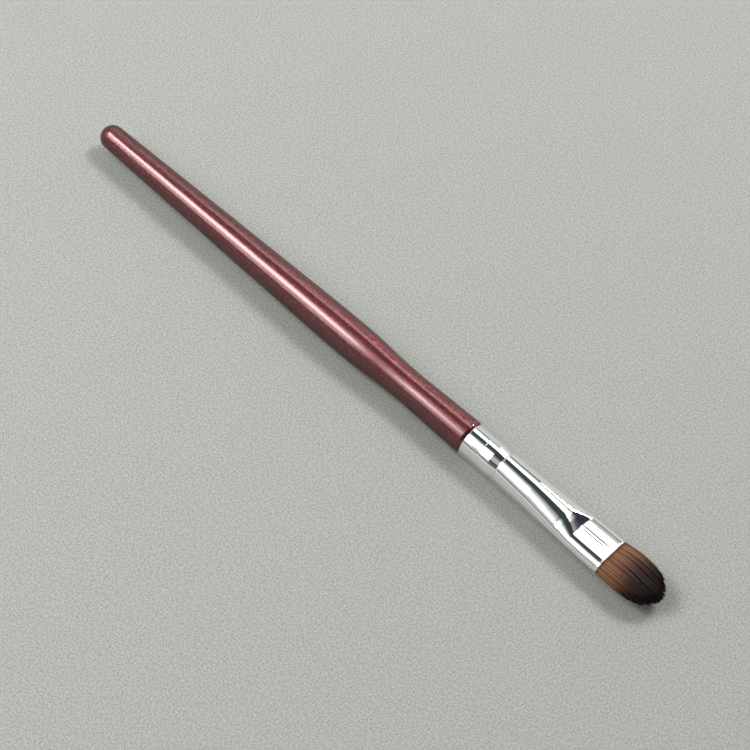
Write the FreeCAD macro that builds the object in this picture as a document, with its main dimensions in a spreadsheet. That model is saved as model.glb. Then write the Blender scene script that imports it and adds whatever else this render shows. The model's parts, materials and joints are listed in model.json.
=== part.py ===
import FreeCAD, Part
import math
import os
import Sketcher

# Eyeshadow brush: a lacquered wooden handle, a plated ferrule pressed flat at its mouth and a flat
# tuft of fine filaments with a round tip. All sizes are millimetres.
# Pieces are drawn along X, from the butt of the handle at x = 0 to the tip of the tuft, with Z up and
# square to the flats of the ferrule. One placement then lays the brush on its belly, with the origin
# on the table under the middle of its length.

SIZES = [
    ("handle_length", 104.8, "butt to the rear end of the ferrule"),
    ("butt_radius", 2.7, "round butt of the handle"),
    ("belly_diameter", 8.18, "thickest place of the handle"),
    ("belly_rear_radius", 600.0, "long swell behind the belly"),
    ("belly_front_radius", 90.0, "shorter fall in front of the belly"),
    ("belly_to_neck", 15.3, "belly to the thinnest place of the neck"),
    ("neck_depth", 0.59, "fall of the neck below the belly, on the radius"),
    ("neck_to_ferrule", 16.5, "thinnest place of the neck to the ferrule"),
    ("shoulder_lip", 0.1, "shoulder of the handle above the ferrule, on the radius"),
    ("shoulder_rounding", 0.4, "rounded edge of the shoulder"),
    ("lacquer_thickness", 0.12, "coat on the wood"),
    ("glue_thickness", 0.08, "film between tenon and ferrule"),
    ("bond_gap", 0.02, "clearance left between two bonded pieces"),
    ("tenon_lead", 1.4, "tenon past the crimp"),
    ("tenon_chamfer", 0.5, "lead-in on the end of the tenon"),
    ("ferrule_diameter", 7.4, "outside of the round barrel"),
    ("ferrule_wall", 0.3, "wall of the tube"),
    ("rear_band", 4.15, "rear end of the ferrule to the fine line"),
    ("line_width", 0.5, "fine rolled line"),
    ("line_depth", 0.1, "fine rolled line"),
    ("front_band", 2.05, "fine line to the crimp"),
    ("crimp_width", 2.3, "rolled crimp that bites the tenon"),
    ("crimp_depth", 0.35, "rolled crimp that bites the tenon"),
    ("air_space", 0.8, "end of the tenon to the resin"),
    ("resin_length", 4.6, "resin plug along the brush"),
    ("resin_sleeve", 0.5, "resin between the roots and the ferrule"),
    ("root_depth", 3.4, "roots cast into the resin"),
    ("bundle_flare", 1.2, "length over which the tied bundle opens to the bore"),
    ("press_length", 12.2, "ferrule from round to flat"),
    ("press_place", 0.55, "middle section, as a share of that length"),
    ("press_share", 0.45, "flattening reached at the middle section"),
    ("press_start", 0.6, "width of the flat where it starts on the barrel"),
    ("panel_length", 8.0, "flat panels up to the mouth"),
    ("mouth_width", 9.8, "outside of the mouth"),
    ("mouth_thickness", 3.8, "outside of the mouth"),
    ("thread_diameter", 0.28, "thread round the roots"),
    ("thread_pitch", 0.36, "from one turn of thread to the next"),
    ("thread_turns", 4.0, "turns of thread"),
    ("thread_setback", 1.0, "end of the roots to the first turn"),
    ("tuft_length", 13.0, "mouth to the tip of the tuft"),
    ("tuft_width", 10.15, "widest place of the tuft"),
    ("tuft_thickness", 4.1, "thickest place of the tuft"),
    ("swell_place", 4.0, "mouth to the thickest place of the tuft"),
    ("tip_height", 7.4, "round end of the tuft"),
    ("tip_thickness", 1.4, "tuft at its tip"),
    ("tip_flat", 2.0, "width of the last section of the tuft"),
    ("bend_offset", 1.0, "mouth to the line about which the tuft bends"),
    ("mouth_gap", 0.1, "root of the bending tuft to the bore of the mouth"),
    ("bend_gap", 0.1, "root of the bending tuft to the held roots"),
    ("root_recess", 0.15, "held roots behind the rim of the mouth"),
]
# Places of the tuft's sections over its round end, as shares of its height.
TIP_SHARES = (0.0, 0.3, 0.55, 0.75, 0.9)
# Least volume, in cubic millimetres, that a cut has to take away.
LEAST_CUT = 0.1

doc = FreeCAD.newDocument("eyeshadow_brush")
sheet = doc.addObject("Spreadsheet::Sheet", "sizes")
for row, (alias, size, meaning) in enumerate(SIZES, start=1):
    sheet.set(f"A{row}", alias)
    sheet.set(f"B{row}", str(size))
    sheet.set(f"C{row}", meaning)
    sheet.setAlias(f"B{row}", alias)
doc.recompute()

# Formulas that more than one piece uses. Places along X count from the butt.
FERRULE_RADIUS = "sizes.ferrule_diameter / 2"
SHOULDER_RADIUS = f"({FERRULE_RADIUS} + sizes.shoulder_lip)"
NECK_X = "(sizes.handle_length - sizes.neck_to_ferrule)"
BELLY_X = f"({NECK_X} - sizes.belly_to_neck)"
LINE_X = "(sizes.handle_length + sizes.rear_band + sizes.line_width / 2)"
CRIMP_START = "(sizes.handle_length + sizes.rear_band + sizes.line_width + sizes.front_band)"
CRIMP_X = f"({CRIMP_START} + sizes.crimp_width / 2)"
TENON_END = f"({CRIMP_START} + sizes.crimp_width + sizes.tenon_lead)"
RESIN_START = f"({TENON_END} + sizes.air_space)"
RESIN_END = f"({RESIN_START} + sizes.resin_length)"
ROOT_START = f"({RESIN_END} - sizes.root_depth)"
BARREL_END = f"({RESIN_END} + sizes.bundle_flare)"
PRESS_MIDDLE = f"({BARREL_END} + sizes.press_length * sizes.press_place)"
PANEL_START = f"({BARREL_END} + sizes.press_length)"
MOUTH_X = f"({PANEL_START} + sizes.panel_length)"
BEND_X = f"({MOUTH_X} + sizes.bend_offset)"
TIP_X = f"({MOUTH_X} + sizes.tuft_length)"
MIDDLE_WIDTH = ("(sizes.ferrule_diameter"
                " + (sizes.mouth_width - sizes.ferrule_diameter) * sizes.press_share)")
MIDDLE_THICKNESS = ("(sizes.ferrule_diameter"
                    " - (sizes.ferrule_diameter - sizes.mouth_thickness) * sizes.press_share)")
BORE_INSET = "sizes.ferrule_wall"
GLUE_OUTER_INSET = f"({BORE_INSET} + sizes.bond_gap)"
GLUE_INNER_INSET = f"({GLUE_OUTER_INSET} + sizes.glue_thickness)"
TENON_INSET = f"({GLUE_INNER_INSET} + sizes.bond_gap)"
HELD_INSET = f"({BORE_INSET} + sizes.bond_gap)"
TIED_RADIUS = f"({FERRULE_RADIUS} - {BORE_INSET} - sizes.resin_sleeve)"
CORE_INSET = "(sizes.lacquer_thickness + sizes.bond_gap)"
BEND_RADIUS = "(sizes.mouth_thickness / 2 - sizes.ferrule_wall - sizes.mouth_gap)"
BEND_WIDTH = "(sizes.mouth_width - 2 * sizes.ferrule_wall - 2 * sizes.mouth_gap)"


def number(formula):
    """Value of a formula in the sheet's sizes."""
    return float(sheet.evalExpression(str(formula)))


def point(x, y):
    """Point of a sketch."""
    return FreeCAD.Vector(x, y, 0)


def add_line(sketch, start, end):
    """Line of a sketch between two points; returns its index."""
    return sketch.addGeometry(Part.LineSegment(start, end))


def add_arc(sketch, centre, radius, first, last):
    """Anticlockwise arc of a sketch from one angle to another, in radians; returns its index."""
    circle = Part.Circle(centre, FreeCAD.Vector(0, 0, 1), radius)
    return sketch.addGeometry(Part.ArcOfCircle(circle, first, last))


def tie(sketch, kind, *places):
    """Geometric constraint of a sketch."""
    sketch.addConstraint(Sketcher.Constraint(kind, *places))


def drive(sketch, kind, places, formula):
    """Dimension of a sketch, bound to a formula in the sheet's sizes."""
    index = sketch.addConstraint(Sketcher.Constraint(kind, *places, number(formula)))
    sketch.setExpression(f"Constraints[{index}]", str(formula))


def new_body(name):
    """Empty body with its own label."""
    body = doc.addObject("PartDesign::Body", name)
    body.Label = name
    return body


def new_sketch(body, name, plane_role):
    """Sketch on one of the body's own origin planes."""
    plane = next(item for item in body.Origin.OriginFeatures if item.Role == plane_role)
    sketch = body.newObject("Sketcher::SketchObject", name)
    sketch.AttachmentSupport = [(plane, "")]
    sketch.MapMode = "FlatFace"
    return sketch


def revolve(body, sketch, axis, cut=False):
    """Full turn of a sketch about one of its axes, added to the body or cut from it."""
    kind = "PartDesign::Groove" if cut else "PartDesign::Revolution"
    feature = body.newObject(kind, f"{sketch.Name}_turn")
    feature.Profile = sketch
    feature.ReferenceAxis = (sketch, [axis])
    feature.Angle = 360
    sketch.Visibility = False
    doc.recompute()
    return feature


def loft(body, sections):
    """Smooth skin through sections in order, added to the body."""
    feature = body.newObject("PartDesign::AdditiveLoft", f"{sections[0].Name}_loft")
    feature.Profile = sections[0]
    feature.Sections = sections[1:]
    feature.Ruled = False
    doc.recompute()
    return feature


def pad(body, sketch, length):
    """Straight length of a section along X."""
    feature = body.newObject("PartDesign::Pad", f"{sketch.Name}_pad")
    feature.Profile = sketch
    feature.Length = number(length)
    feature.setExpression("Length", length)
    doc.recompute()
    return feature


def confirm_cut(feature):
    """Stop if a cut took nothing away from the solid before it."""
    removed = feature.BaseFeature.Shape.Volume - feature.Shape.Volume
    if removed < LEAST_CUT:
        raise RuntimeError(f"{feature.Name} cuts nothing")


def lay_on_table(piece):
    """Placement shared by all pieces: middle of the brush over the origin, belly on the table."""
    piece.setExpression("Placement.Base.x", f"-{TIP_X} / 2")
    piece.setExpression("Placement.Base.z", f"max(sizes.belly_diameter / 2; {SHOULDER_RADIUS})")


def add_handle_outline(sketch, inset):
    """Half outline of the handle, sunk by inset: butt arc, taper, two belly arcs, neck arc, rise, shoulder.

    All arcs keep their centres, so an outline with an inset runs parallel to the outside. Returns the
    indices of the butt arc, which ends on the axis, and of the shoulder arc, which starts on the end face.
    """
    sunk = number(inset)
    butt = number("sizes.butt_radius")
    belly_x = number(BELLY_X)
    neck_x = number(NECK_X)
    belly_radius = number("sizes.belly_diameter / 2")
    rear = number("sizes.belly_rear_radius")
    front = number("sizes.belly_front_radius")
    neck_fall = "sizes.neck_depth"
    neck_formula = (f"((sizes.belly_to_neck ^ 2 + {neck_fall} ^ 2) / (2 * {neck_fall})"
                    " - sizes.belly_front_radius)")
    neck = number(neck_formula)
    rounding = number("sizes.shoulder_rounding")
    butt_centre = point(butt, 0)
    rear_centre = point(belly_x, belly_radius - rear)
    front_centre = point(belly_x, belly_radius - front)
    neck_centre = point(neck_x, belly_radius - number(neck_fall) + neck)
    rounding_centre = point(number("sizes.handle_length") - rounding, number(SHOULDER_RADIUS) - rounding)

    def upward_normal(start_centre, end_centre, difference):
        """Angle of the normal of a line that touches two circles, from their centres and radii."""
        run = end_centre - start_centre
        return math.atan2(run.y, run.x) + math.acos(difference / run.Length)

    taper_angle = upward_normal(butt_centre, rear_centre, butt - rear)
    rise_angle = upward_normal(neck_centre, rounding_centre, -neck - rounding)
    fall = neck_centre - front_centre
    fall_angle = math.atan2(fall.y, fall.x)

    def on_circle(centre, radius, angle):
        """Point of a circle at an angle."""
        return centre + point(radius * math.cos(angle), radius * math.sin(angle))

    quarter = math.pi / 2
    butt_arc = add_arc(sketch, butt_centre, butt - sunk, taper_angle, math.pi)
    taper = add_line(sketch, on_circle(butt_centre, butt - sunk, taper_angle),
                     on_circle(rear_centre, rear - sunk, taper_angle))
    rear_arc = add_arc(sketch, rear_centre, rear - sunk, quarter, taper_angle)
    front_arc = add_arc(sketch, front_centre, front - sunk, fall_angle, quarter)
    neck_arc = add_arc(sketch, neck_centre, neck + sunk, fall_angle + math.pi, rise_angle + math.pi)
    rise = add_line(sketch, on_circle(neck_centre, neck + sunk, rise_angle + math.pi),
                    on_circle(rounding_centre, rounding - sunk, rise_angle))
    shoulder_arc = add_arc(sketch, rounding_centre, rounding - sunk, 0, rise_angle)

    tie(sketch, "Tangent", butt_arc, 1, taper, 1)
    tie(sketch, "Tangent", taper, 2, rear_arc, 2)
    tie(sketch, "Tangent", rear_arc, 1, front_arc, 2)
    tie(sketch, "Tangent", front_arc, 1, neck_arc, 1)
    tie(sketch, "Tangent", neck_arc, 2, rise, 1)
    tie(sketch, "Tangent", rise, 2, shoulder_arc, 2)
    tie(sketch, "PointOnObject", butt_arc, 3, -1)
    tie(sketch, "PointOnObject", butt_arc, 2, -1)
    tie(sketch, "Horizontal", shoulder_arc, 3, shoulder_arc, 1)
    drive(sketch, "DistanceX", (-1, 1, butt_arc, 3), "sizes.butt_radius")
    drive(sketch, "Radius", (butt_arc,), f"sizes.butt_radius - {inset}")
    drive(sketch, "Radius", (rear_arc,), f"sizes.belly_rear_radius - {inset}")
    drive(sketch, "Radius", (front_arc,), f"sizes.belly_front_radius - {inset}")
    drive(sketch, "Radius", (neck_arc,), f"{neck_formula} + {inset}")
    drive(sketch, "Radius", (shoulder_arc,), f"sizes.shoulder_rounding - {inset}")
    drive(sketch, "DistanceX", (-1, 1, rear_arc, 3), BELLY_X)
    drive(sketch, "DistanceX", (-1, 1, rear_arc, 1), BELLY_X)
    drive(sketch, "DistanceY", (-1, 1, rear_arc, 1), f"sizes.belly_diameter / 2 - {inset}")
    drive(sketch, "DistanceX", (-1, 1, neck_arc, 3), NECK_X)
    drive(sketch, "DistanceX", (-1, 1, shoulder_arc, 3), "sizes.handle_length - sizes.shoulder_rounding")
    drive(sketch, "DistanceY", (-1, 1, shoulder_arc, 3), f"{SHOULDER_RADIUS} - sizes.shoulder_rounding")
    return butt_arc, shoulder_arc


def add_barrel_outline(sketch, inset, start, end):
    """Half outline of the round barrel, sunk by inset: three level lines with the line and crimp arcs between.

    Each groove's arc keeps its centre, so the wall is as thick in a groove as beside it. Returns the
    indices of the first and last lines.
    """
    radius_formula = f"{FERRULE_RADIUS} - {inset}"
    radius = number(radius_formula)
    lines = []
    arcs = []
    run_start = number(start)
    for middle, groove in ((LINE_X, "line"), (CRIMP_X, "crimp")):
        width = f"sizes.{groove}_width"
        depth = f"sizes.{groove}_depth"
        roller = f"(({width} ^ 2 / 4 + {depth} ^ 2) / (2 * {depth}))"
        height = f"{FERRULE_RADIUS} - {depth} + {roller}"
        arc_radius = number(roller) + number(inset)
        half_angle = math.acos((number(height) - radius) / arc_radius)
        half_width = arc_radius * math.sin(half_angle)
        down = math.pi * 1.5
        lines.append(add_line(sketch, point(run_start, radius), point(number(middle) - half_width, radius)))
        arcs.append(add_arc(sketch, point(number(middle), number(height)), arc_radius,
                            down - half_angle, down + half_angle))
        drive(sketch, "DistanceX", (-1, 1, arcs[-1], 3), middle)
        drive(sketch, "DistanceY", (-1, 1, arcs[-1], 3), height)
        drive(sketch, "Radius", (arcs[-1],), f"{roller} + {inset}")
        run_start = number(middle) + half_width
    lines.append(add_line(sketch, point(run_start, radius), point(number(end), radius)))
    for before, groove_arc, after in zip(lines, arcs, lines[1:]):
        tie(sketch, "Coincident", before, 2, groove_arc, 1)
        tie(sketch, "Coincident", groove_arc, 2, after, 1)
    for line in lines:
        tie(sketch, "Horizontal", line)
        drive(sketch, "DistanceY", (-1, 1, line, 1), radius_formula)
    drive(sketch, "DistanceX", (-1, 1, lines[0], 1), start)
    drive(sketch, "DistanceX", (-1, 1, lines[-1], 2), end)
    return lines[0], lines[-1]


def join(sketch, first, second):
    """Line of a sketch between the ends of two curves, each given as (index, end)."""
    line = add_line(sketch, sketch.getPoint(*first), sketch.getPoint(*second))
    tie(sketch, "Coincident", line, 1, *first)
    tie(sketch, "Coincident", line, 2, *second)
    return line


def add_chain(sketch, corners):
    """Run of straight lines through corners, each bound to its two formulas; returns their indices."""
    spots = [point(number(across), number(up)) for across, up in corners]
    lines = [add_line(sketch, start, end) for start, end in zip(spots, spots[1:])]
    for before, after in zip(lines, lines[1:]):
        tie(sketch, "Coincident", before, 2, after, 1)
    ends = [(lines[0], 1)] + [(line, 2) for line in lines]
    for end, (across, up) in zip(ends, corners):
        drive(sketch, "DistanceX", (-1, 1, *end), across)
        if up == "0":
            tie(sketch, "PointOnObject", *end, -1)
        else:
            drive(sketch, "DistanceY", (-1, 1, *end), up)
    return lines


def add_flat_loop(sketch, width, thickness):
    """Flattened section: two level lines joined by half circles, centred on the axis."""
    half_flat = f"(({width}) - ({thickness})) / 2"
    radius = f"({thickness}) / 2"
    reach = number(half_flat)
    height = number(radius)
    quarter = math.pi / 2
    top = add_line(sketch, point(-reach, height), point(reach, height))
    right = add_arc(sketch, point(reach, 0), height, -quarter, quarter)
    bottom = add_line(sketch, point(reach, -height), point(-reach, -height))
    left = add_arc(sketch, point(-reach, 0), height, quarter, 3 * quarter)
    tie(sketch, "Tangent", top, 2, right, 2)
    tie(sketch, "Tangent", right, 1, bottom, 1)
    tie(sketch, "Tangent", bottom, 2, left, 2)
    tie(sketch, "Tangent", left, 1, top, 1)
    tie(sketch, "Horizontal", top)
    tie(sketch, "PointOnObject", right, 3, -1)
    tie(sketch, "Symmetric", left, 3, right, 3, -2)
    drive(sketch, "Radius", (right,), radius)
    drive(sketch, "DistanceX", (-1, 1, right, 3), half_flat)


def add_round_loop(sketch, radius, flat):
    """Round section in four arcs, so that it has a counterpart for each edge of a flattened section."""
    size = number(radius)
    half_flat = f"{flat} / 2"
    lean = math.asin(number(half_flat) / size)
    quarter = math.pi / 2
    turns = (quarter - lean, quarter + lean, 3 * quarter - lean, 3 * quarter + lean, 5 * quarter - lean)
    arcs = [add_arc(sketch, point(0, 0), size, first, last) for first, last in zip(turns, turns[1:])]
    for arc in arcs:
        tie(sketch, "Coincident", arc, 3, -1, 1)
    for before, after in zip(arcs, arcs[1:]):
        tie(sketch, "Coincident", before, 2, after, 1)
    top, left, bottom, right = arcs
    tie(sketch, "Vertical", right, 2, top, 1)
    drive(sketch, "Radius", (top,), radius)
    drive(sketch, "DistanceX", (-1, 1, top, 1), half_flat)
    drive(sketch, "DistanceX", (top, 2, -1, 1), half_flat)
    drive(sketch, "DistanceX", (bottom, 1, -1, 1), half_flat)
    drive(sketch, "DistanceX", (-1, 1, bottom, 2), half_flat)


def section(body, name, station):
    """Empty cross-section of a body, square to X at a station."""
    sketch = new_sketch(body, name, "YZ_Plane")
    sketch.AttachmentOffset = FreeCAD.Placement(FreeCAD.Vector(0, 0, number(station)), FreeCAD.Rotation())
    sketch.setExpression("AttachmentOffset.Base.z", station)
    return sketch


def pressed_sections(body, insets):
    """The three sections of the pressed tube, round to flat, each with one loop per inset."""
    round_end = section(body, f"{body.Name}_round", BARREL_END)
    middle = section(body, f"{body.Name}_middle", PRESS_MIDDLE)
    flat_end = section(body, f"{body.Name}_flat", PANEL_START)
    for inset in insets:
        add_round_loop(round_end, f"{FERRULE_RADIUS} - {inset}", "sizes.press_start")
        add_flat_loop(middle, f"{MIDDLE_WIDTH} - 2 * {inset}", f"{MIDDLE_THICKNESS} - 2 * {inset}")
        add_flat_loop(flat_end, f"sizes.mouth_width - 2 * {inset}", f"sizes.mouth_thickness - 2 * {inset}")
    return [round_end, middle, flat_end]


def add_bend_profile(sketch, gap):
    """Half of the mouth's flattened section, for a turn about its long middle line: a rod with ball ends."""
    radius = f"({BEND_RADIUS} + {gap})"
    half_flat = f"({BEND_WIDTH} / 2 - {BEND_RADIUS})"
    size = number(radius)
    reach = number(half_flat)
    quarter = math.pi / 2
    side = add_line(sketch, point(size, -reach), point(size, reach))
    upper = add_arc(sketch, point(0, reach), size, 0, quarter)
    lower = add_arc(sketch, point(0, -reach), size, -quarter, 0)
    tie(sketch, "Tangent", side, 2, upper, 1)
    tie(sketch, "Tangent", side, 1, lower, 2)
    tie(sketch, "PointOnObject", upper, 3, -2)
    tie(sketch, "PointOnObject", upper, 2, -2)
    tie(sketch, "PointOnObject", lower, 1, -2)
    tie(sketch, "Vertical", side)
    tie(sketch, "Symmetric", upper, 3, lower, 3, -1)
    drive(sketch, "Radius", (upper,), radius)
    drive(sketch, "DistanceY", (-1, 1, upper, 3), half_flat)
    join(sketch, (upper, 2), (lower, 1))


def bend_sketch(body, name, gap):
    """Profile of the tuft's root about the line on which it bends, level in the XY plane."""
    sketch = new_sketch(body, name, "XY_Plane")
    sketch.AttachmentOffset = FreeCAD.Placement(FreeCAD.Vector(number(BEND_X), 0, 0), FreeCAD.Rotation())
    sketch.setExpression("AttachmentOffset.Base.x", BEND_X)
    add_bend_profile(sketch, gap)
    return sketch


def make_handle_core():
    """Turned wood: the handle's outline under the lacquer, then a tenon grooved by the crimps."""
    body = new_body("handle_core")
    sketch = new_sketch(body, "core_outline", "XZ_Plane")
    butt_arc, shoulder_arc = add_handle_outline(sketch, CORE_INSET)
    tenon_radius = f"{FERRULE_RADIUS} - {TENON_INSET}"
    shoulder_face = f"(sizes.handle_length - {CORE_INSET})"
    tenon_first, tenon_last = add_barrel_outline(sketch, TENON_INSET, shoulder_face,
                                                 f"{TENON_END} - sizes.tenon_chamfer")
    join(sketch, (shoulder_arc, 1), (tenon_first, 1))
    nose = add_chain(sketch, [(TENON_END, f"{tenon_radius} - sizes.tenon_chamfer"), (TENON_END, "0")])
    join(sketch, (tenon_last, 2), (nose[0], 1))
    join(sketch, (nose[-1], 2), (butt_arc, 2))
    revolve(body, sketch, "H_Axis")
    return body


def make_handle_lacquer():
    """Coat of even thickness over the handle, turned in over the shoulder down to the tenon."""
    body = new_body("handle_lacquer")
    sketch = new_sketch(body, "lacquer_outline", "XZ_Plane")
    outer_butt, outer_shoulder = add_handle_outline(sketch, "0")
    inner_butt, inner_shoulder = add_handle_outline(sketch, "sizes.lacquer_thickness")
    tenon_hole = f"{FERRULE_RADIUS} - {GLUE_INNER_INSET}"
    lip = add_chain(sketch, [("sizes.handle_length", tenon_hole),
                             ("sizes.handle_length - sizes.lacquer_thickness", tenon_hole)])
    join(sketch, (outer_shoulder, 1), (lip[0], 1))
    join(sketch, (lip[-1], 2), (inner_shoulder, 1))
    join(sketch, (inner_butt, 2), (outer_butt, 2))
    revolve(body, sketch, "H_Axis")
    return body


def make_handle_adhesive():
    """Film of glue round the tenon, squeezed to an even thickness by the crimps."""
    body = new_body("handle_adhesive")
    sketch = new_sketch(body, "adhesive_outline", "XZ_Plane")
    film = [add_barrel_outline(sketch, inset, "sizes.handle_length", f"{TENON_END} - sizes.tenon_chamfer")
            for inset in (GLUE_OUTER_INSET, GLUE_INNER_INSET)]
    (outer_first, outer_last), (inner_first, inner_last) = film
    join(sketch, (outer_first, 1), (inner_first, 1))
    join(sketch, (outer_last, 2), (inner_last, 2))
    revolve(body, sketch, "H_Axis")
    return body


def make_ferrule():
    """Tube with a round, rolled barrel, pressed from round to flat, then two flat panels to the mouth."""
    body = new_body("ferrule")
    sketch = new_sketch(body, "barrel_outline", "XZ_Plane")
    wall = [add_barrel_outline(sketch, inset, "sizes.handle_length", BARREL_END)
            for inset in ("0", BORE_INSET)]
    (outer_first, outer_last), (inner_first, inner_last) = wall
    join(sketch, (outer_first, 1), (inner_first, 1))
    join(sketch, (outer_last, 2), (inner_last, 2))
    revolve(body, sketch, "H_Axis")
    sections = pressed_sections(body, ("0", BORE_INSET))
    loft(body, sections)
    pad(body, sections[-1], "sizes.panel_length")
    return body


def make_root_resin():
    """Cast plug: a floor behind the roots, a sleeve round them, and a groove filled by the thread."""
    body = new_body("root_resin")
    sketch = new_sketch(body, "resin_outline", "XZ_Plane")
    outer = f"{FERRULE_RADIUS} - {HELD_INSET}"
    thread_room = f"({TIED_RADIUS} + sizes.thread_diameter + sizes.bond_gap)"
    thread_start = f"({ROOT_START} + sizes.thread_setback - sizes.thread_diameter)"
    thread_length = "(sizes.thread_pitch * sizes.thread_turns)"
    thread_end = f"({ROOT_START} + sizes.thread_setback + {thread_length} + sizes.thread_diameter)"
    corners = [(RESIN_START, "0"), (RESIN_START, outer), (RESIN_END, outer), (RESIN_END, TIED_RADIUS),
               (thread_end, TIED_RADIUS), (thread_end, thread_room), (thread_start, thread_room),
               (thread_start, TIED_RADIUS), (ROOT_START, TIED_RADIUS), (ROOT_START, "0")]
    lines = add_chain(sketch, corners)
    join(sketch, (lines[-1], 2), (lines[0], 1))
    revolve(body, sketch, "H_Axis")
    return body


def make_root_thread():
    """Thread wound round the tied roots, one unbroken helix."""
    body = new_body("root_thread")
    sketch = new_sketch(body, "thread_section", "XZ_Plane")
    middle_radius = f"{TIED_RADIUS} + sizes.thread_diameter / 2"
    start = f"{ROOT_START} + sizes.thread_setback"
    circle = Part.Circle(point(number(start), number(middle_radius)), FreeCAD.Vector(0, 0, 1),
                         number("sizes.thread_diameter / 2"))
    ring = sketch.addGeometry(circle)
    drive(sketch, "Radius", (ring,), "sizes.thread_diameter / 2")
    drive(sketch, "DistanceX", (-1, 1, ring, 3), start)
    drive(sketch, "DistanceY", (-1, 1, ring, 3), middle_radius)
    winding = body.newObject("PartDesign::AdditiveHelix", "thread_winding")
    winding.Profile = sketch
    winding.ReferenceAxis = (sketch, ["H_Axis"])
    winding.Mode = "pitch-turns-angle"
    winding.setExpression("Pitch", "sizes.thread_pitch")
    winding.setExpression("Turns", "sizes.thread_turns")
    doc.recompute()
    return body


def make_bristle_roots():
    """Held length of the filaments: tied round in the resin, opened to the bore, hollowed at the mouth."""
    body = new_body("bristle_roots")
    sketch = new_sketch(body, "tied_outline", "XZ_Plane")
    tied = f"{TIED_RADIUS} - sizes.bond_gap"
    opened = f"{FERRULE_RADIUS} - {HELD_INSET}"
    start = f"{ROOT_START} + sizes.bond_gap"
    corners = [(start, "0"), (start, tied), (RESIN_END, tied), (BARREL_END, opened), (BARREL_END, "0")]
    lines = add_chain(sketch, corners)
    join(sketch, (lines[-1], 2), (lines[0], 1))
    revolve(body, sketch, "H_Axis")
    sections = pressed_sections(body, (HELD_INSET,))
    loft(body, sections)
    pad(body, sections[-1], "sizes.panel_length - sizes.root_recess")
    hollow = revolve(body, bend_sketch(body, "bend_hollow", "sizes.bend_gap"), "V_Axis", cut=True)
    confirm_cut(hollow)
    return body


def make_bristle_tuft():
    """Free length of the filaments: a swelling flat bundle that thins to a round tip, on a rounded root."""
    body = new_body("bristle_tuft")
    revolve(body, bend_sketch(body, "bend_root", "0"), "V_Axis")
    root = section(body, "tuft_root", BEND_X)
    add_flat_loop(root, BEND_WIDTH, f"2 * {BEND_RADIUS}")
    swell = section(body, "tuft_swell", f"{MOUTH_X} + sizes.swell_place")
    add_flat_loop(swell, "sizes.tuft_width", "sizes.tuft_thickness")
    sections = [root, swell]
    for index, share in enumerate(TIP_SHARES):
        past_mouth = f"(sizes.tuft_length - sizes.tip_height * {1 - share})"
        thinned = f"(({past_mouth} - sizes.swell_place) / (sizes.tuft_length - sizes.swell_place))"
        tip_section = section(body, f"tuft_tip_{index}", f"{MOUTH_X} + {past_mouth}")
        add_flat_loop(tip_section, f"sizes.tuft_width * sqrt(1 - {share} ^ 2)",
                      f"sizes.tuft_thickness - (sizes.tuft_thickness - sizes.tip_thickness) * {thinned}")
        sections.append(tip_section)
    end = section(body, "tuft_end", TIP_X)
    add_flat_loop(end, "sizes.tip_flat", "sizes.tip_thickness")
    loft(body, sections + [end])
    return body


pieces = [
    make_handle_core(),
    make_handle_lacquer(),
    make_handle_adhesive(),
    make_ferrule(),
    make_root_resin(),
    make_root_thread(),
    make_bristle_roots(),
    make_bristle_tuft(),
]
for piece in pieces:
    lay_on_table(piece)
doc.recompute()

for item in doc.Objects:
    if "Invalid" in item.State or "Error" in item.State:
        raise RuntimeError(f"{item.Name} failed: {item.State}")
for piece in pieces:
    if piece.Shape.isNull() or not piece.Shape.isValid():
        raise RuntimeError(f"{piece.Label} has no valid shape")

os.makedirs("parts", exist_ok=True)
for piece in pieces:
    piece.Shape.exportStep(f"parts/{piece.Label}.step")
    box = piece.Shape.BoundBox
    print(f"{piece.Label}: {len(piece.Shape.Solids)} solid, {piece.Shape.Volume:.2f} mm3, "
          f"x {box.XMin:.2f} to {box.XMax:.2f}, y {box.YMin:.2f} to {box.YMax:.2f}, "
          f"z {box.ZMin:.2f} to {box.ZMax:.2f}")
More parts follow.
